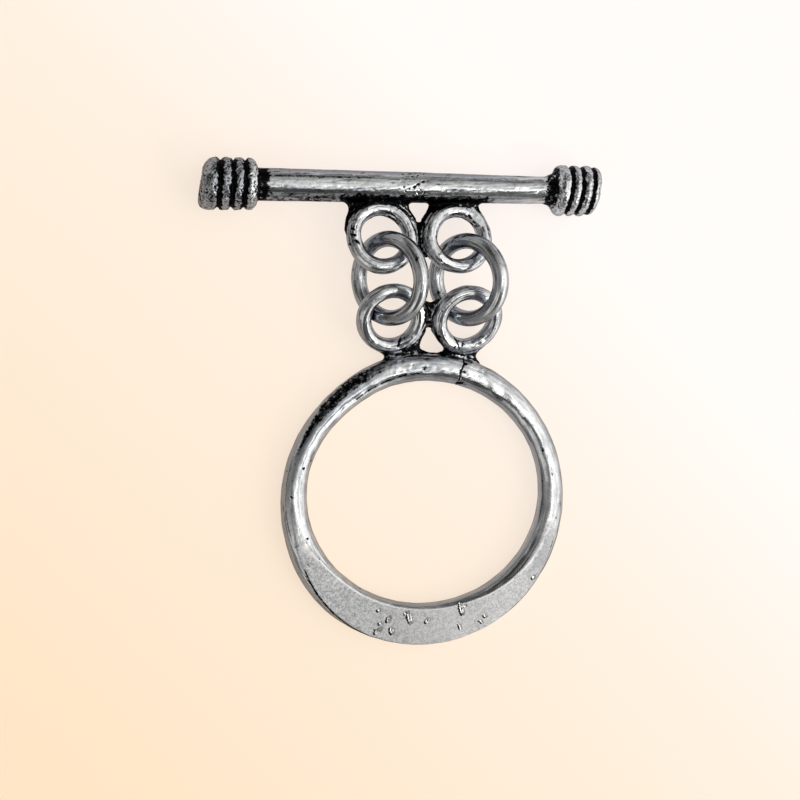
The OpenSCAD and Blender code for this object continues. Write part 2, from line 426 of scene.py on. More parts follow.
def pool_skin(pool):
    """A pool of solder: its outline carried inwards to its middle, over and under, along a superellipse,
    on a plane that rises along Y."""
    outline = closed_outline(pool.outline, 180)
    middle = outline.mean(0)
    turn = np.linspace(0, np.pi, 41)[:, None, None]
    flat = middle + np.sin(turn) ** 0.45 * (outline - middle)
    height = pool.height + pool.rise * flat[..., 1] + pool.thickness / 2 * np.cos(turn[..., 0])
    return grid_skin(np.concatenate([flat, height[..., None]], -1), closed_rows=False)


def from_pool(points, pool):
    """Distance of points from a pool's outline seen from above, negative inside it."""
    start = closed_outline(pool.outline, 60)
    run = np.roll(start, -1, 0) - start
    away = np.full(len(points), FAR)
    inside = np.zeros(len(points), bool)
    for (x, y), (along_x, along_y) in zip(start, run):
        u, v = points[:, 0] - x, points[:, 1] - y
        on_run = np.clip((u * along_x + v * along_y) / (along_x**2 + along_y**2), 0, 1)
        away = np.minimum(away, np.hypot(u - on_run * along_x, v - on_run * along_y))
        crosses = (v < 0) != (v < along_y)
        with np.errstate(divide="ignore", invalid="ignore"):
            inside ^= crosses & (u < along_x * v / along_y)
    return np.where(inside, -away, away)


def by_pools(points, pools, reach):
    """1 on the pools seen from above, falling to 0 at the reach from them."""
    return np.max([near(from_pool(points, pool), reach) for pool in pools], axis=0)


def on_pools(points, pools):
    """1 where points lie on or under the pools' upper sides."""
    shares = []
    for pool in pools:
        over = points[:, 2] - pool.height - pool.rise * points[:, 1] - pool.thickness / 2
        shares.append(near(from_pool(points, pool) - 0.05, 0.3) * near(over - 0.03, 0.16))
    return np.max(shares, axis=0)


def by_link(points, link):
    """The points as a link has them: out from the middle of its wire, on the link's plane, the way along the
    wire, and the height over that plane."""
    local = (points - link.centre) @ link.turn
    out = np.hypot(local[:, 0], local[:, 1]) - link.path_radius
    return out, np.arctan2(local[:, 1], local[:, 0]) * link.path_radius, local[:, 2]


def from_wire(points, link):
    """Distance of points from the middle of a link's wire, and their height over the link's plane."""
    out, _, height = by_link(points, link)
    return np.hypot(out, height), height


def bare(points, hung, wire_radius):
    """1 on the upper sides of the links' wires, which stay bare over the solder."""
    shares = []
    for link in hung:
        away, height = from_wire(points, link)
        shares.append(near(away - wire_radius - 0.04, 0.08) * near(0.3 - height, 0.25))
    return np.max(shares, axis=0)


def crossing_shade(points, crossing, wire_radius):
    """Painted shade next to the wires of crossing links, where they lie over one another, fading over their
    distance.
    """
    shares = [near(from_wire(points, link)[0] - wire_radius - 0.12, 0.4) for link in crossing]
    return 0.62 * np.max(shares, axis=0)


# The ring


def rim_oval(ring):
    """Half width, half height and middle height of the rim's oval."""
    half_width = ring.hole_width / 2 + ring.side_wall
    half_height = (ring.hole_height + ring.top_wall + ring.bottom_wall) / 2
    return half_width, half_height, (ring.top_wall - ring.bottom_wall) / 2


def ring_edges(ring, degrees):
    """Distances of the hole's edge and the rim from the origin, in a direction.
    The hole is an oval about the origin, the rim an oval about a point a little lower; both then bend."""
    c, s = np.cos(np.radians(degrees)), np.sin(np.radians(degrees))
    hole = 1 / np.hypot(2 * c / ring.hole_width, 2 * s / ring.hole_height)
    half_width, half_height, low = rim_oval(ring)
    square = (c / half_width) ** 2 + (s / half_height) ** 2
    slope = -2 * s * low / half_height**2
    rim = (-slope + np.sqrt(slope**2 - 4 * square * (low**2 / half_height**2 - 1))) / (2 * square)
    return hole + from_table(RING_BENDS, 1, degrees), rim + from_table(RING_BENDS, 2, degrees)


def by_ring(points):
    """Directions of points from the ring's middle, in degrees, and their distances, both seen from above."""
    return np.degrees(np.arctan2(points[:, 1], points[:, 0])), np.hypot(points[:, 0], points[:, 1])


def face_edges(degrees):
    """Distances of the filed face's edges from the hole and from the rim."""
    return [from_table(FILED_EDGES, column, degrees, 4.0) for column in (1, 2)]


def filed_height(ring, degrees, across):
    """Height of the filed face over a section of the ring: the straight line between the face's two
    edges on the wire's round. Where there is no filed face it is far above."""
    hole, rim = ring_edges(ring, degrees)
    wall = rim - hole
    edge = ring.thickness / 2
    first, last = FILED_EDGES[0][0], FILED_EDGES[-1][0]
    inner, outer = face_edges(degrees)

    def height_at(distance):
        """Height of the wire's round side at a distance from its edge."""
        return edge + np.sqrt(np.clip(edge**2 - np.clip(edge - distance, 0, edge) ** 2, 0, None))

    low, high = inner, wall - outer
    run = np.maximum(high - low, 0.05)
    slope = (height_at(outer) - height_at(inner)) / run
    flat = height_at(inner) + slope * (across - low)
    angle_round = degrees % 360
    return np.where((angle_round > first) & (angle_round < last) & (high > low), flat, FAR)


def ring_skin(ring):
    """The ring's wire: a profile with half-round edges, carried round the opening and cut by the filed
    face."""
    degrees = np.degrees(around(1400))[:, None]
    turn = around(140)[None, :]
    hole, rim = ring_edges(ring, degrees)
    edge = ring.thickness / 2
    c, s = np.cos(turn), np.sin(turn)
    half_flat = (rim - hole) / 2 - edge
    across = (rim - hole) / 2 + half_flat * c / np.sqrt(c**2 + 0.03) + edge * c
    height = edge + edge * s
    height = np.minimum(height, filed_height(ring, degrees, across))
    distance = hole + across
    radians = np.radians(degrees)
    return grid_skin(np.stack([distance * np.cos(radians), distance * np.sin(radians), height], -1))


def rim_y(ring, x):
    """Height of the ring's rim over the point x, on the links' side."""
    half_width, half_height, low = rim_oval(ring)
    return low + half_height * np.sqrt(1 - (x / half_width) ** 2)


def ring_link(ring, links, side):
    """One of the ring's links, which stands off the rim by its neck."""
    x = RING_LINK_X[side] * links.pitch
    reach = links.neck_length + links.wire + links.hole / 2
    rise = links.ring_rise
    centre = np.array([x, rim_y(ring, x) + reach * np.cos(rise), ring.thickness / 2 + reach * np.sin(rise)])
    return Link(centre, turned(rise, np.radians(RING_LINK_TILT[side])), (links.hole + links.wire) / 2)


# The bar


def bar_axis(bar):
    """The bar's middle, and the direction along it."""
    low, high = box_in_mm("toggle_bar")
    end_radius = (high[2] - low[2]) / 2
    half_span = (high[0] - low[0]) / 2
    middle = np.array([bar.middle_x, high[1] - end_radius - half_span * np.sin(bar.turn), end_radius])
    return middle, np.array([np.cos(bar.turn), -np.sin(bar.turn), 0.0])


def bar_axis_y(bar, x):
    """Place of the bar's axis along Y over the point x."""
    middle, along = bar_axis(bar)
    return middle[1] + (x - middle[0]) * along[1] / along[0]


def bar_link(bar, links, side):
    """One of the bar's links, which hangs from the rod's lower side."""
    x = BAR_LINK_X[side] * links.pitch
    path_radius = (links.hole + links.wire) / 2
    seat = (bar.rod_left + bar.rod_right) / 4 + links.wire / 2 - links.bite / 3
    y = bar_axis_y(bar, x) - seat - path_radius * np.cos(links.bar_rise)
    centre = np.array([x, y, bar_axis(bar)[0][2] + path_radius * np.sin(links.bar_rise)])
    return Link(centre, turned(-links.bar_rise, np.radians(BAR_LINK_TILT[side])), path_radius)


def middle_link(links, side):
    """A loose link, worked out from the box of its frame node."""
    low, high = box_in_mm(MIDDLE_NODES[side])
    reach = (high - low) / 2 - links.middle_wire / 2
    turn = turned(0.05, -np.arctan2(reach[2], reach[0]))
    return Link((low + high) / 2, turn, np.hypot(reach[0], reach[2]))


def from_ends(points):
    """Distances of points from the bar's left and right ends, along X."""
    low, high = box_in_mm("toggle_bar")
    return points[:, 0] - low[0], high[0] - points[:, 0]


def on_bar_links(points):
    """Which points lie on the links under the rod."""
    return (points[:, 1] < BAR_LINKS_Y) & (np.abs(points[:, 0]) < BAR_LINKS_X)


def end_profile(radius, bar, grooves, end_length, shoulder, funnel, rod_radius):
    """A ribbed end from its outer face inwards, as distances and radii. Its envelope has two rounded
    corners, each a quarter of an oval, and ridges with round tops meet in the sharp grooves. The inner
    corner comes down to the rod, or to the top of a hollow funnel that does."""
    face = np.stack([np.zeros(12), np.linspace(0, radius - bar.corner, 12)], 1)
    turn = np.linspace(0, np.pi / 2, 20)
    outer = bar.corner * (1 - np.cos(turn))
    inner = end_length - shoulder * (1 - np.cos(turn[::-1]))
    straight = np.linspace(bar.corner, end_length - shoulder, 220)[1:-1]
    run = np.concatenate([outer[1:], straight, inner])
    foot = radius * 0.72 if funnel else rod_radius
    rise = np.sqrt(np.clip(1 - np.clip(1 - run / bar.corner, 0, 1) ** 2, 0, 1))
    fall = np.sqrt(np.clip(1 - np.clip(1 - (end_length - run) / shoulder, 0, 1) ** 2, 0, 1))
    envelope = radius - bar.corner * (1 - rise) - (radius - foot) * (1 - fall)
    notch = np.zeros(len(run))
    for groove in grooves:
        towards = np.clip(1 - np.abs(run - groove) / bar.groove_width, 0, 1)
        notch = np.maximum(notch, 1 - np.sqrt(1 - towards**2))
    ridges = np.stack([run, envelope - bar.groove_depth * notch * envelope / radius], 1)
    if not funnel:
        return np.concatenate([face, ridges])
    step = np.linspace(0, 1, 24)[1:]
    down = np.stack([end_length + funnel * step, rod_radius + (foot - rod_radius) * (1 - step) ** 1.7], 1)
    return np.concatenate([face, ridges, down])


def bar_skin(bar):
    """The bar: a profile of two ribbed ends and a tapered rod, turned about the bar's axis.
    The ends lean a little, so their points move along the axis with their height."""
    middle, along = bar_axis(bar)
    low, high = box_in_mm("toggle_bar")
    half_length = (high[0] - low[0]) / 2
    radius = middle[2]
    left = end_profile(radius, bar, LEFT_GROOVES, bar.left_length, bar.left_shoulder, 0.0, bar.rod_left / 2)
    right = end_profile(
        radius, bar, RIGHT_GROOVES, bar.right_length, bar.right_shoulder, bar.right_funnel, bar.rod_right / 2
    )
    left[:, 0] -= half_length - 0.12
    right[:, 0] = half_length - right[:, 0]
    rod_x = np.linspace(left[-1, 0], right[-1, 0], 202)[1:-1]
    widths = np.array([bar.rod_left, bar.rod_middle, bar.rod_right])
    taper = np.interp(rod_x, [rod_x[0], 0, rod_x[-1]], widths / 2)
    profile = np.concatenate([left, np.stack([rod_x, taper], 1), right[::-1]])
    x, r = profile[:, :1], profile[:, 1:]
    turn = around(144)[None, :]
    lean = 0.1 * near(x + half_length, 6) + 0.24 * near(np.abs(x + half_length), 1.6)
    lean = lean + 0.28 * near(half_length - x, 6)
    side, up = r * np.cos(turn), r * np.sin(turn)
    wave = np.stack([x + 0 * side, side, up], -1)
    on_ends = near(half_length - np.abs(x) - 4.0, 0.6)
    x = x + lean * side / radius + 0.05 * on_ends * lumps(wave * [0.5, 1, 1], 2.2, 17)
    across, upward = np.array([np.sin(bar.turn), np.cos(bar.turn), 0.0]), np.array([0.0, 0.0, 1.0])
    points = middle + x[..., None] * along + side[..., None] * across + up[..., None] * upward
    return grid_skin(points, closed_rows=False)


# Melting, denting, blackening and painted shade


def placed(name, data):
    """A new object in the scene."""
    thing = bpy.data.objects.new(name, data)
    bpy.context.scene.collection.objects.link(thing)
    return thing


def new_mesh(name, points, faces):
    """A mesh of the points and faces."""
    mesh = bpy.data.meshes.new(name)
    mesh.from_pydata(points, [], faces)
    return mesh


def shown(mesh_object):
    """The object's mesh as its modifiers leave it."""
    graph = bpy.context.evaluated_depsgraph_get()
    return bpy.data.meshes.new_from_object(mesh_object.evaluated_get(graph))


def through_modifier(skin, kind, corners, held=None, **settings):
    """The skin as one modifier leaves it, with faces of that many corners. Points to be held are a group
    of their own."""
    mesh = new_mesh("work", skin.points, skin.faces)
    work = placed("work", mesh)
    if held is not None:
        work.vertex_groups.new(name="held").add(np.flatnonzero(held).tolist(), 1.0, "REPLACE")
    modifier = work.modifiers.new(kind, kind)
    for name, value in settings.items():
        setattr(modifier, name, value)
    bpy.context.view_layer.update()
    done = shown(work)
    points = np.empty(len(done.vertices) * 3)
    done.vertices.foreach_get("co", points)
    faces = np.empty(len(done.loops), np.int32)
    done.loops.foreach_get("vertex_index", faces)
    bpy.data.objects.remove(work)
    bpy.data.meshes.remove(mesh)
    bpy.data.meshes.remove(done)
    return Skin(points.reshape(-1, 3), faces.reshape(-1, corners))


def melted(skins, step):
    """One closed skin round all the skins, in square faces of the given step."""
    offsets = np.cumsum([0] + [len(skin.points) for skin in skins])
    points = np.concatenate([skin.points for skin in skins])
    faces = np.concatenate([skin.faces + offset for skin, offset in zip(skins, offsets)])
    return through_modifier(Skin(points, faces), "REMESH", 4, mode="VOXEL", voxel_size=step)


def thinned(skin, triangles, held):
    """The skin in at most that many triangles, fewest where it is flattest, and all where it is held."""
    settings = {"ratio": min(1.0, triangles / (len(skin.faces) * 2)), "use_collapse_triangulate": True}
    group = {"vertex_group": "held", "invert_vertex_group": True}
    return through_modifier(skin, "DECIMATE", 3, held, **settings, **group)


def summed(numbers, values, size):
    """For each number up to the size, the sum of the rows of values that carry it."""
    return np.stack([np.bincount(numbers, values[:, k], size) for k in range(3)], 1)


def normals(skin):
    """Outward directions at the points: the sum of the facing of the faces round each."""
    corners = skin.points[skin.faces]
    if skin.faces.shape[1] == 4:
        facing = np.cross(corners[:, 2] - corners[:, 0], corners[:, 3] - corners[:, 1])
    else:
        facing = np.cross(corners[:, 1] - corners[:, 0], corners[:, 2] - corners[:, 0])
    total = sum(summed(numbers, facing, len(skin.points)) for numbers in skin.faces.T)
    return total / np.maximum(np.linalg.norm(total, axis=1, keepdims=True), 1e-12)


def relaxed(skin, rounds, pull=0.5):
    """The skin after its points have moved towards the mean of their neighbours, a few rounds long."""
    here = skin.faces.ravel()
    following = np.roll(skin.faces, -1, 1).ravel()
    size = len(skin.points)
    count = np.bincount(here, minlength=size) + np.bincount(following, minlength=size)
    points = skin.points
    for _ in range(rounds):
        total = summed(here, points[following], size) + summed(following, points[here], size)
        points = points + pull * (total / count[:, None] - points)
    return Skin(points, skin.faces)


def filled(skin, weight, rounds):
    """Lets solder run into hollow corners: a relaxed skin, kept only where it lies outside the first.
    Only the faces near the solder are relaxed."""
    faces = skin.faces[(weight[skin.faces] > 0).any(1)]
    used = np.unique(faces)
    part = Skin(skin.points[used], np.searchsorted(used, faces))
    soft = np.zeros(skin.points.shape)
    soft[used] = relaxed(part, rounds).points - part.points
    outward = (soft * normals(skin)).sum(1)
    keep = near(0.25 - weight, 0.25) * near(-outward, 0.01)
    return relaxed(Skin(skin.points + soft * keep[:, None], skin.faces), 3)


def soldered(wire_skin, pools, hung, wire_radius, seed, unevenness):
    """A wire, its pools of solder and the links that hang from it, melted into one skin, with solder run
    into the hollow corners; and how near each point of it is to the solder."""
    skins = [wire_skin] + [pool_skin(pool) for pool in pools]
    skins += [link_skin(hung[side], wire_radius, seed + side, unevenness) for side in SIDES]
    skin = relaxed(melted(skins, bpy.context.scene.clasp_finish.fuse_step / MM), 2)
    solder = by_pools(skin.points, pools, 0.6)
    return filled(skin, solder, 90), solder


def raised(skin, relief):
    """The skin after its points have moved outwards by the relief, and none of them under the floor."""
    points = skin.points + normals(skin) * relief[:, None]
    points[:, 2] = np.maximum(points[:, 2], 0.0)
    return Skin(points, skin.faces)


def hollowness(skin):
    """How far each point lies in a hollow, from its way outwards to its relaxed place: 1 at 0.012 mm."""
    way = ((relaxed(skin, 12).points - skin.points) * normals(skin)).sum(1)
    return np.clip(way / 0.012, 0, 1)


def drawn_streaks(points, link, seed):
    """Fine streaks along a round wire, as drawing leaves them: random relief whose way round the wire's
    path is squeezed, so that it is many times longer along the wire than across it."""
    out, way, height = by_link(points, link)
    return lumps(np.stack([0.08 * way, out, height], 1), 0.22, seed)


def with_links(streaks, points, on_links, gap_x, hung, seed):
    """The streaks, where each link's own take the place of the rest on its side of the gap at gap_x."""
    for side in SIDES:
        on_side = on_links & ((points[:, 0] > gap_x) == (side == RIGHT))
        streaks = np.where(on_side, drawn_streaks(points, hung[side], seed + side), streaks)
    return streaks


def as_mask(relief):
    """Relief of about -2 to 2 as a share of about 0 to 1."""
    return 0.5 + 0.25 * relief


def blotches(points, seed):
    """Scattered dark blotches, as a share of black."""
    return 0.45 * np.clip(lumps(points, 1.5, seed) - 1.0, 0, 1)


def black_of_links(points, on_links, pools, hung, links, seed):
    """Black on the solder of soldered links and in blotches, and painted shade at their crossings with the
    middle links.
    """
    crossing = [middle_link(links, side) for side in SIDES]
    return {
        "solder": 0.73 * on_pools(points, pools) * (1 - bare(points, hung, links.wire / 2)),
        "crossings": crossing_shade(points, crossing, links.middle_wire / 2) * on_links,
        "blotches": blotches(points, seed) * on_links,
    }


def flank_shade(skin):
    """Painted shade by facing: 1 on the steep flanks, which are darkened so that they mirror less of the
    pale floor, and 0 on top.
    The flanks that face right, and the outermost and lowest parts, get less of this painted shade."""
    facing = normals(skin)
    outermost = near(facing[:, 2] - 0.05, 0.45)
    to_right = near(0.6 - facing[:, 0], 0.5)
    return near(facing[:, 2] - 0.6, 0.24) * (1 - 0.6 * to_right) * (1 - 0.65 * outermost)


def pressed(points, dents):
    """How deep the dents go at each point: each is an oval hollow with a flat floor and a steep wall."""
    depth = np.zeros(len(points))
    for x, y, half_length, half_width, degrees, deep in dents:
        c, s = np.cos(np.radians(degrees)), np.sin(np.radians(degrees))
        u = ((points[:, 0] - x) * c + (points[:, 1] - y) * s) / half_length
        v = (-(points[:, 0] - x) * s + (points[:, 1] - y) * c) / half_width
        depth = np.maximum(depth, deep * np.clip(1.8 * (1 - u**2 - v**2), 0, 1))
    return depth


def marked(points, marks, wider=0.0):
    """1 inside the ovals of the marks, which may be made wider all round, falling to 0 at their edge."""
    return pressed(points, [(x, y, a + wider, b + wider, turn, 1.0) for x, y, a, b, turn, *_ in marks])


def made_piece(name, node, skin, **masks):
    """Turns a skin into a silver piece that stands for a node of the frame and takes its place."""
    mesh = new_mesh(name, skin.points * MM, skin.faces)
    mesh.polygons.foreach_set("use_smooth", np.ones(len(mesh.polygons), bool))
    for mask, values in masks.items():
        layer = mesh.attributes.new(mask, "FLOAT", "POINT")
        layer.data.foreach_set("value", np.clip(values, 0, 1).astype(np.float32))
    mesh.materials.append(silver_of(bpy.context.scene.clasp_finish))
    piece = placed(name, mesh)
    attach(piece, "root")
    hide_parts(node)
    return piece


# Materials


class Nodes:
    """A short way to add nodes to a material or a world and join them."""

    def __init__(self, tree):
        self.tree = tree
        tree.nodes.clear()

    def add(self, kind, inputs=None, **settings):
        """A node with its settings and inputs: values, colours or other nodes' outputs."""
        node = self.tree.nodes.new(kind)
        for name, value in settings.items():
            setattr(node, name, value)
        for key, value in (inputs or {}).items():
            socket = node.inputs[key]
            if isinstance(value, bpy.types.NodeSocket):
                self.tree.links.new(value, socket)
            else:
                socket.default_value = (*value, 1.0) if socket.type == "RGBA" else value
        return node

    def noise(self, place, scale, detail, roughness):
        """Value noise with features of about the given number to a metre."""
        inputs = {"Vector": place, "Scale": scale, "Detail": detail, "Roughness": roughness}
        return self.add("ShaderNodeTexNoise", inputs).outputs["Fac"]

    def ranged(self, value, low, high, to_low=0.0, to_high=1.0, **settings):
        """The value's range from low to high, stretched to another range and held inside it."""
        inputs = {"Value": value, "From Min": low, "From Max": high, "To Min": to_low, "To Max": to_high}
        return self.add("ShaderNodeMapRange", inputs, **settings).outputs["Result"]

    def eased(self, value, low, high):
        """0 at the low end and 1 at the high end, with a soft start and finish."""
        return self.ranged(value, low, high, interpolation_type="SMOOTHSTEP")

    def between(self, amount, first, last):
        """The first value where the amount is 0, and the last where it is 1."""
        return self.ranged(amount, 0.0, 1.0, first, last)

    def joined(self, operation, *values):
        """The values put together by an operation, one after another."""
        total = values[0]
        for value in values[1:]:
            total = self.add("ShaderNodeMath", {0: total, 1: value}, operation=operation).outputs[0]
        return total

    def times(self, *values):
        """The product of the values."""
        return self.joined("MULTIPLY", *values)

    def plus(self, *values):
        """The sum of the values."""
        return self.joined("ADD", *values)

    def mixed(self, amount, first, second, kind="RGBA", **settings):
        """Two colours, or two values, mixed by an amount."""
        inputs = {"Factor": amount, "A": first, "B": second}
        return self.add("ShaderNodeMix", inputs, data_type=kind, **settings).outputs["Result"]

    def mask(self, name):
        """A mask that a piece carries at its points."""
        return self.add("ShaderNodeAttribute", attribute_name=name).outputs["Fac"]

    def surface(self, inputs):
        """A principled shader as the material's surface."""
        shader = self.add("ShaderNodeBsdfPrincipled", inputs)
        self.add("ShaderNodeOutputMaterial", {"Surface": shader.outputs["BSDF"]})


def new_material(name):
    """A new material, and its nodes."""
    material = bpy.data.materials.new(name)
    material.use_nodes = True
    return material, Nodes(material.node_tree)


def aged_silver(finish):
    """Silver that was blackened and polished: clouded, black in the recesses, with a fine grain in the metal
    and a matt, grainy filed face;
    lighter on top than on its flanks by painted shade, with painted dark reflections and painted glints from
    its masks."""
    material, nodes = new_material("aged_silver")
    place = nodes.add("ShaderNodeTexCoord").outputs["Object"]
    grain = nodes.noise(place, 7000.0, 3.0, 0.6)
    cloud = nodes.noise(place, 900.0, 4.0, 0.6)
    speck = nodes.noise(place, 3200.0, 2.0, 0.5)
    fleck = nodes.noise(place, 2600.0, 5.0, 0.75)
    filed, streaks = nodes.mask("filed"), nodes.mask("streaks")

    # Black from real oxide in hollows and on solder, and painted shade and painted dark reflections, all in
    # one mask
    broken = nodes.plus(
        nodes.mask("patina_and_shade"),
        nodes.ranged(fleck, 0.25, 0.75, 0.55, -0.55),
        nodes.ranged(streaks, 0.6, 1.1, 0.0, 0.5),
    )
    blackness = nodes.ranged(broken, 0.36, 0.62)
    clouded = nodes.mixed(nodes.ranged(cloud, 0.45, 0.72), finish.silver, finish.tarnish)
    streaked = nodes.mixed(nodes.ranged(streaks, 0.4, 0.85, 0.0, 0.8), clouded, finish.dull_and_shade)
    texture = nodes.plus(nodes.times(grain, 0.7), nodes.times(speck, 0.3))
    grainy = nodes.mixed(nodes.ranged(texture, 0.43, 0.57, 0.2, 1.0), finish.frosted, finish.tarnish)
    metal = nodes.mixed(filed, streaked, grainy)
    # Unpolished places, and painted shade on steep flanks, beside the dark band and along dark reflection
    # lines
    dulled_and_shaded = nodes.mixed(nodes.mask("dull_and_shade"), metal, finish.dull_and_shade)
    # Worn brightness, partly painted glints and sheen
    bright = nodes.mixed(nodes.mask("worn_and_glint"), dulled_and_shaded, finish.worn_and_glint)
    base = nodes.mixed(blackness, bright, finish.black)

    polished = nodes.ranged(cloud, 0.35, 0.75, finish.polish, finish.polish + 0.14)
    rough = nodes.mixed(blackness, nodes.mixed(filed, polished, finish.filed, "FLOAT"), 0.3, "FLOAT")
    height = nodes.plus(nodes.times(grain, 0.35), nodes.times(speck, 0.22), nodes.times(streaks, -0.35))
    bump = nodes.add("ShaderNodeBump", {"Height": height, "Strength": 0.35, "Distance": 0.00005})
    inputs = {"Base Color": base, "Roughness": rough, "Metallic": 1.0, "Specular Tint": (0.5, 0.5, 0.5)}
    nodes.surface({**inputs, "Normal": bump.outputs["Normal"]})
    return material


def silver_of(finish):
    """The clasp's metal, made once."""
    return bpy.data.materials.get("aged_silver") or aged_silver(finish)


def floor_material(studio):
    """Pale matt paper that turns from cream to white across the picture."""
    material, nodes = new_material("pale_floor")
    place = nodes.add("ShaderNodeTexCoord").outputs["Object"]
    x, y, _ = nodes.add("ShaderNodeSeparateXYZ", {0: place}).outputs
    across = nodes.plus(x, y)
    lower = nodes.mixed(nodes.ranged(across, -0.05, 0.004), studio.cream, studio.ivory)
    shade = nodes.mixed(nodes.ranged(across, 0.004, 0.034), lower, studio.white)
    paper = nodes.mixed(0.7, shade, (0.0, 0.0, 0.0))
    glow = {"Emission Color": shade, "Emission Strength": studio.glow}
    nodes.surface({"Base Color": paper, "Roughness": 0.9, **glow})
    return material


# Operators


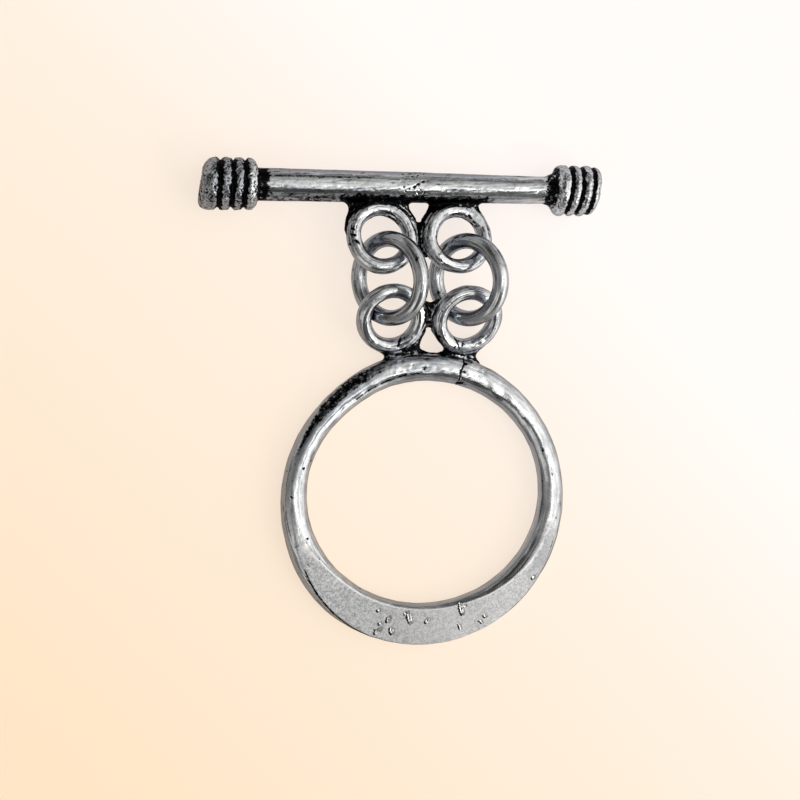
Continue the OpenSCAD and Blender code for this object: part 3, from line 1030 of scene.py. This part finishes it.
class CLASP_OT_ring(bpy.types.Operator):
    """Builds the ring with its two soldered links and their solder"""

    bl_idname = "clasp.ring"
    bl_label = "Build the ring"

    def execute(self, context):
        ring, links = in_mm(context.scene.clasp_ring), in_mm(context.scene.clasp_links)
        hung = [ring_link(ring, links, side) for side in SIDES]
        skin, solder = soldered(ring_skin(ring), RING_POOLS, hung, links.wire / 2, 11, 0.02)
        skin = self.dented(ring, skin, solder, hung)
        held = (marked(skin.points, FILED_DENTS, 0.25) > 0) & (skin.points[:, 2] > 0.9)
        skin = thinned(skin, TRIANGLES, held)
        made_piece("ring", "toggle_ring", skin, **self.masks(ring, links, skin, hung))
        return {"FINISHED"}

    def dented(self, ring, skin, solder, hung):
        """Lumps all over, dents and pits from above, and the crack of the ring's joint."""
        filed, face = self.on_face(ring, skin)
        points = skin.points.copy()
        points[:, 2] += filed * (face - points[:, 2])
        above = near(ring.thickness * 0.55 - points[:, 2], 0.4)
        for dents in (FILED_DENTS, RING_PITS):
            points[:, 2] -= pressed(points, dents) * above
        relief = (1 - filed) * (0.012 * lumps(points, 1.6, 3) + 0.003 * lumps(points, 0.6, 4))
        seam = self.from_seam(ring, points)
        relief -= 0.07 * near(np.abs(seam), 0.09) * (0.7 + 0.3 * lumps(points, 0.35, 8))
        relief += 0.007 * solder * lumps(points, 0.5, 5)
        relief += 0.014 * within(points, *SEAM_RIPPLES) * lumps(points * [0.6, 1, 1], 0.7, 6)
        on_links = by_ring(points)[1] > rim_y(ring, 0.0)
        relief -= np.where(on_links, 0.009, 0.002) * self.streaks(ring, points, hung) * (1 - filed)
        return raised(Skin(points, skin.faces), relief)

    def streaks(self, ring, points, hung):
        """Drawn streaks along the ring's wire and along its links."""
        degrees, reach = by_ring(points)
        _, rim = ring_edges(ring, degrees)
        wire = Link(np.zeros(3), np.eye(3), 10.5)
        streaks = drawn_streaks(points, wire, 41)
        return with_links(streaks, points, reach > rim + BEYOND_RIM, RING_GAP_X, hung, 42)

    def on_face(self, ring, skin):
        """Which points lie on the filed face, as 0 to 1, and the face's height there."""
        degrees, reach = by_ring(skin.points)
        hole, _ = ring_edges(ring, degrees)
        face = filed_height(ring, degrees, reach - hole)
        return near(np.abs(skin.points[:, 2] - face), 0.12) * (normals(skin)[:, 2] > 0.85), face

    def from_seam(self, ring, points):
        """Distance of points from the wavy joint across the ring's wire, and far away off the wire."""
        direction = np.array([-np.sin(ring.seam_angle), np.cos(ring.seam_angle)])
        wavy = points[:, :2] @ direction + 0.06 * np.sin(points[:, 1] * 5.0)
        on_wire = (points[:, 0] > 0) & (by_ring(points)[1] < rim_y(ring, 3.0) + 0.45)
        return np.where(on_wire, wavy, FAR)

    def masks(self, ring, links, skin, hung):
        """Where the ring is black, filed, dull, streaked and worn bright, with painted shade, painted dark
        reflections and painted glints. Angles are in degrees round it.
        """
        points = skin.points
        degrees, reach = by_ring(points)
        turn = degrees % 360
        hole, rim = ring_edges(ring, degrees)
        from_hole, from_rim = reach - hole, rim - reach
        face = filed_height(ring, degrees, from_hole)
        on_links = reach > rim + BEYOND_RIM
        above = points[:, 2] > 1.2

        dents = np.clip(pressed(points, FILED_DENTS) / 0.06, 0, 1)
        # Painted shade: the dents moved a little sideways, which darkens ground along their lower left sides
        beside = np.clip(pressed(points + [0.13, 0.05, 0.0], FILED_DENTS) / 0.05, 0, 1)
        filed = stripe(points[:, 2] - face, 0.02, 0.05) * near(0.8 - normals(skin)[:, 2], 0.3)
        filed = filed * (face < FAR / 2) * (1 - dents) * near(205 - turn, 5) * near(turn - 342, 7)
        inner, outer = face_edges(degrees)
        # Worn bright edges and dents, with painted glints along the face's inner edge and in the dents, and
        # a painted sheen lightest at the filed face's middle
        worn_and_glint = [
            near(np.abs(from_hole - inner + 0.03), 0.1) * (face < FAR / 2) * above,
            dents * above,
            filed * np.interp(points[:, 0], [-7.0, -2.0, 2.0, 6.0, 9.0], [0.0, 0.22, 0.35, 0.27, 0.1]),
        ]
        half_band = np.interp(turn, *zip(*DARK_REFLECTION_BAND))
        along_band = stripe(turn - 138, 20, 16) * above
        along_line = stripe(turn - 109, 14, 9) * above
        black = {
            **black_of_links(points, on_links, RING_POOLS, hung, links, 43),
            "hollows": 0.8 * hollowness(skin) * (1 - filed) * (1 - dents),
            "seam": near(np.abs(self.from_seam(ring, points)), 0.17) * (0.75 + 0.4 * lumps(points, 0.32, 9)),
            "pits": 0.8 * marked(points, RING_PITS) * above,
            # Painted reflection: a dark band along the ring's upper left
            "band": 0.6 * stripe(from_rim - 0.5, half_band, 0.2) * along_band,
            # Painted reflection: a dark line on the inner flank at the ring's upper left
            "inner line": 0.64 * stripe(from_rim - 1.62, 0.03, 0.13) * along_line,
            "joints": 0.9 * (marked(points, LINK_MARKS) > 0) * (points[:, 2] > 1.4),
            "flank": 0.75 * within(points, *BLACK_FLANK) * on_links,
            "edge line": 0.9 * near(np.abs(from_rim - outer + 0.08), 0.13) * stripe(turn - 231, 17, 6),
            "rim line": near(np.abs(from_rim), 0.22) * stripe(turn - 86.5, 5, 3),
            # Painted shade along one side of each dent
            "beside dents": 0.9 * beside * (1 - dents) * above,
            "everywhere": np.where(on_links, 0.12, 0.05),
        }
        dull_and_shade = [
            # Painted shade on the steep flanks
            flank_shade(skin) * (1 - filed),
            # Painted shade grading out from the dark reflection band
            0.85 * stripe(from_rim - 0.75, half_band, 0.55) * along_band,
            0.45 * within(points, *SEAM_RIPPLES),
            # Painted shade on the filed face's right part, where the right panel lights it
            0.5 * filed * near(np.abs(turn - 330), 16),
        ]
        return {
            "patina_and_shade": np.max(list(black.values()), axis=0),
            "filed": filed,
            "dull_and_shade": np.max(dull_and_shade, axis=0),
            "streaks": as_mask(self.streaks(ring, points, hung)),
            "worn_and_glint": np.max(worn_and_glint, axis=0),
        }


class CLASP_OT_bar(bpy.types.Operator):
    """Builds the bar with its ribbed ends, its two soldered links and their solder"""

    bl_idname = "clasp.bar"
    bl_label = "Build the bar"

    def execute(self, context):
        bar, links = in_mm(context.scene.clasp_bar), in_mm(context.scene.clasp_links)
        hung = [bar_link(bar, links, side) for side in SIDES]
        skin, solder = soldered(bar_skin(bar), BAR_POOLS, hung, links.wire / 2, 21, 0.03)
        skin = self.dented(skin, solder, hung)
        held = (marked(skin.points, BAR_MARKS) > 0) & (skin.points[:, 2] > 2.0)
        skin = thinned(skin, TRIANGLES, held)
        made_piece("bar", "toggle_bar", skin, **self.masks(bar, links, skin, hung))
        return {"FINISHED"}

    def dented(self, skin, solder, hung):
        """Lumps all over, stronger on the ribbed ends and the solder."""
        points = skin.points
        x = points[:, 0]
        ends = near(np.minimum(*from_ends(points)) - 4.2, 0.8) * (1.0 + 0.6 * (x < 0))
        relief = 0.008 * lumps(points * [0.35, 1, 1], 0.9, 13) + 0.004 * lumps(points, 0.4, 14)
        relief += ends * (0.013 * lumps(points, 0.45, 15) + 0.009 * lumps(points, 0.22, 18))
        relief += 0.006 * solder * lumps(points, 0.5, 16)
        rough = near(np.abs(x + 1.3), 1.9) * near(BAR_LINKS_Y - points[:, 1], 0.5)
        relief -= 0.05 * rough * np.clip(lumps(points, 0.4, 19) - 0.4, 0, 1.5)
        relief += 0.03 * within(points, *LINK_RIPPLES) * lumps(points * [0.6, 1.6, 1], 0.5, 20)
        relief -= np.where(on_bar_links(points), 0.009, 0.003) * self.streaks(points, hung)
        return raised(skin, relief)

    def streaks(self, points, hung):
        """Drawn streaks along the rod and along the links, and rounder marks on the ribbed ends."""
        along_rod = lumps(points * [0.1, 1, 1], 0.26, 51)
        streaks = with_links(along_rod, points, on_bar_links(points), BAR_GAP_X, hung, 54)
        return np.where(np.minimum(*from_ends(points)) < 4.5, lumps(points, 0.3, 56), streaks)

    def masks(self, bar, links, skin, hung):
        """Where the bar is black, dull and streaked, with painted shade and painted dark reflections. Its
        painted reflection lines lie at the sides of the rod's axis.
        """
        points = skin.points
        x, height = points[:, 0], points[:, 2]
        middle, _ = bar_axis(bar)
        from_left, from_right = from_ends(points)
        beside = points[:, 1] - bar_axis_y(bar, x)
        out = np.hypot(beside, height - middle[2])
        lean = beside / middle[2]
        on_links = (out > 1.7) & (np.abs(x) < BAR_LINKS_X)

        ragged = 0.06 * lumps(points, 0.4, 57) + 0.05 * lumps(points, 0.9, 58)
        at_left = from_left - 0.12 - 0.1 * lean + ragged
        at_right = from_right + 0.28 * lean + 0.6 * ragged
        under = near(beside + 1.05, 0.8) * near(out - 1.4, 0.3)
        left_half = near(x + 5.5, 3.0) * (from_left > 4.5)
        # Painted reflections: two dark lines along the rod's left half
        upper_reflection_line = stripe(beside - 0.62, 0.02, 0.14) * left_half
        lower_reflection_line = stripe(beside + 0.45, 0.1, 0.2) * left_half
        black = {
            **black_of_links(points, on_links, BAR_POOLS, hung, links, 53),
            "hollows": 0.9 * hollowness(skin),
            "left grooves": np.max([stripe(at_left - at, 0.12, 0.25) for at in LEFT_GROOVES], axis=0),
            "right grooves": np.max([stripe(at_right - at, 0.1, 0.2) for at in RIGHT_GROOVES], axis=0),
            "left corner": 0.82 * stripe(from_left - 4.85 + 2.0 * ragged, 0.25, 0.5),
            "right corner": 0.72 * stripe(from_right + 0.28 * lean - 3.95, 0.2, 0.4),
            "left end": (0.14 + 0.3 * near(from_left, 0.5)) * (from_left < 4.5),
            "under the rod": np.where(x < -7, 0.5, 0.82) * stripe(x + 4, 8.6, 1.5) * under,
            "upper line": 0.5 * upper_reflection_line,
            "cuts": 0.95 * (marked(points, BAR_MARKS) > 0) * (height > 2.2),
            "everywhere": np.where(on_links, 0.12, 0.1 + 0.1 * near(x + 7, 3)),
        }
        dull_and_shade = [
            # Painted shade on the steep flanks, less of it towards the right end
            flank_shade(skin) * (1 - 0.7 * near(from_right - 4.5, 7.0)),
            0.9 * near(from_left - 3.2, 0.8),
            0.8 * upper_reflection_line,
            0.9 * lower_reflection_line,
        ]
        return {
            "patina_and_shade": np.max(list(black.values()), axis=0),
            "dull_and_shade": np.max(dull_and_shade, axis=0),
            "streaks": as_mask(self.streaks(points, hung)),
        }


class CLASP_OT_middle_links(bpy.types.Operator):
    """Builds the two loose links that join the ring's and the bar's links"""

    bl_idname = "clasp.middle_links"
    bl_label = "Build the middle links"

    def execute(self, context):
        scene = context.scene
        ring, bar, links = (in_mm(group) for group in (scene.clasp_ring, scene.clasp_bar, scene.clasp_links))
        for side, name in zip(SIDES, ("link_left", "link_right")):
            link = middle_link(links, side)
            skin = link_skin(link, links.middle_wire / 2, 31 + side, 0.012)
            crossing = [ring_link(ring, links, side), bar_link(bar, links, side)]
            # Black blotches, and painted shade where the soldered links cross this one
            black = [blotches(skin.points, 63 + side), crossing_shade(skin.points, crossing, links.wire / 2)]
            patina_and_shade = np.maximum(np.max(black, axis=0), 0.12)
            drawn = drawn_streaks(skin.points, link, 61 + side)
            skin = raised(skin, -0.01 * drawn)
            # The flank mask is painted shade on the steep flanks
            masks = {"patina_and_shade": patina_and_shade, "dull_and_shade": flank_shade(skin), "streaks": as_mask(drawn)}
            made_piece(name, MIDDLE_NODES[side], skin, **masks)
        return {"FINISHED"}


class CLASP_OT_stage(bpy.types.Operator):
    """Sets the floor, the lights and the camera"""

    bl_idname = "clasp.stage"
    bl_label = "Set the stage"

    def execute(self, context):
        studio = context.scene.clasp_studio
        self.floor(studio)
        self.room(context.scene, studio)
        self.panel("right_light", (0.32, -0.22, 0.33), (0.12, 0.12), studio.right_light, studio.warmth)
        self.panel("top_light", (0.12, -0.085, 0.49), (0.34, 0.045), studio.top_light, studio.warmth)
        self.camera(context.scene)
        context.scene.view_settings.view_transform = "Standard"
        return {"FINISHED"}

    def floor(self, studio):
        """A square of paper just under the clasp."""
        half, low = 1.5, -0.00001
        corners = [(-half, -half, low), (half, -half, low), (half, half, low), (-half, half, low)]
        mesh = new_mesh("floor", corners, [(0, 1, 2, 3)])
        mesh.materials.append(floor_material(studio))
        floor = placed("floor", mesh)

    def room(self, scene, studio):
        """A soft room, by direction: light from the zenith to the right, with a window at the right, a pale
        patch at the left and a dim far corner; darker on the near and far sides, round the horizon and in a
        line over the far wall."""
        world = bpy.data.worlds.new("room")
        world.use_nodes = True
        scene.world = world
        nodes = Nodes(world.node_tree)
        place = nodes.add("ShaderNodeTexCoord").outputs["Generated"]
        x, y, z = nodes.add("ShaderNodeSeparateXYZ", {0: place}).outputs
        eased, times, between = nodes.eased, nodes.times, nodes.between

        wall = eased(x, 0.3, 0.6)
        corner = times(eased(x, -0.1, -0.38), eased(y, 0.12, 0.4))
        left = times(eased(x, -0.2, -0.45), eased(y, -0.15, -0.35), eased(z, 0.3, 0.5))
        far_side = times(eased(y, 0.15, 0.75), between(wall, 0.55, 0.2))
        near_side = times(eased(y, -0.2, -0.32), between(wall, 0.88, 0.0), between(left, 1.0, 0.3))
        horizon = times(eased(z, 0.22, 0.06), between(wall, 0.85, 0.1), between(corner, 1.0, 0.25))
        line = times(eased(z, 0.3, 0.36), eased(z, 0.52, 0.45), nodes.ranged(y, 0.3, 0.55, 0.0, 0.75))
        line = times(line, eased(x, -0.4, -0.15))
        dim_corner = times(corner, nodes.ranged(z, 0.4, 0.6, 0.1, 0.78))

        light = nodes.plus(times(eased(x, -0.3, 0.3), 0.95), 0.32)
        for shade in (far_side, near_side, horizon, line, dim_corner):
            light = times(light, nodes.joined("SUBTRACT", 1.0, shade))
        light = nodes.plus(
            light,
            times(near_side, eased(z, 0.5, 0.3), 0.35),
            times(eased(x, 0.4, 0.62), eased(z, 0.25, 0.45), 0.35),
            times(left, 0.7),
            times(corner, nodes.ranged(z, 0.35, 0.5, 0.42, 0.0)),
        )
        shade = nodes.mixed(light, (0.0, 0.0, 0.0), studio.warmth, clamp_factor=False)
        background = nodes.add("ShaderNodeBackground", {"Color": shade, "Strength": studio.room_light})
        nodes.add("ShaderNodeOutputWorld", {"Surface": background.outputs["Background"]})

    def panel(self, name, place, size, brightness, warmth):
        """A soft panel of the given size and brightness at a place, turned to the clasp."""
        light = bpy.data.lights.new(name, "AREA")
        light.shape = "RECTANGLE"
        light.color = warmth
        light.size, light.size_y = size
        light.energy = brightness * np.pi * size[0] * size[1]
        lamp = placed(name, light)
        lamp.location = place
        lamp.rotation_euler = Vector(place).to_track_quat("Z", "Y").to_euler()

    def camera(self, scene):
        """The photograph's view: almost from overhead, a hand's width away."""
        target = Vector((-1.958, 7.488, 1.0)) * MM
        view = Vector((-0.1835, 0.07, 1.0)).normalized()
        distance = 0.125
        camera = placed("camera", bpy.data.cameras.new("camera"))
        across = Vector((0.0, 1.0, 0.0)).cross(view).normalized()
        up = view.cross(across)
        turn = Matrix((across, up, view)).transposed().to_4x4()
        camera.matrix_world = Matrix.Translation(target + view * distance) @ turn
        camera.data.lens = 70.245
        camera.data.clip_start = 0.001
        scene.camera = camera


class CLASP_PT_panel(bpy.types.Panel):
    """Lists the clasp's pieces and their sizes"""

    bl_idname = "CLASP_PT_panel"
    bl_label = "Toggle clasp"
    bl_space_type = "VIEW_3D"
    bl_region_type = "UI"
    bl_category = "Clasp"

    def draw(self, context):
        for operator in OPERATORS:
            self.layout.operator(operator.bl_idname)
        for group in GROUPS:
            box = self.layout.box()
            values = getattr(context.scene, group)
            for prop in own_properties(values):
                box.prop(values, prop.identifier)


OPERATORS = (CLASP_OT_ring, CLASP_OT_bar, CLASP_OT_middle_links, CLASP_OT_stage)
CLASSES = (*GROUPS.values(), *OPERATORS, CLASP_PT_panel)


def register():
    """Adds the clasp's classes and its values on the scene."""
    for each in CLASSES:
        bpy.utils.register_class(each)
    for name, group in GROUPS.items():
        setattr(bpy.types.Scene, name, bpy.props.PointerProperty(type=group))


def unregister():
    """Takes them away again."""
    for name in GROUPS:
        delattr(bpy.types.Scene, name)
    for each in reversed(CLASSES):
        bpy.utils.unregister_class(each)


def main():
    """Builds the clasp and its stage."""
    register()
    bpy.ops.clasp.ring()
    bpy.ops.clasp.bar()
    bpy.ops.clasp.middle_links()
    bpy.ops.clasp.stage()


if __name__ == "__main__":
    main()
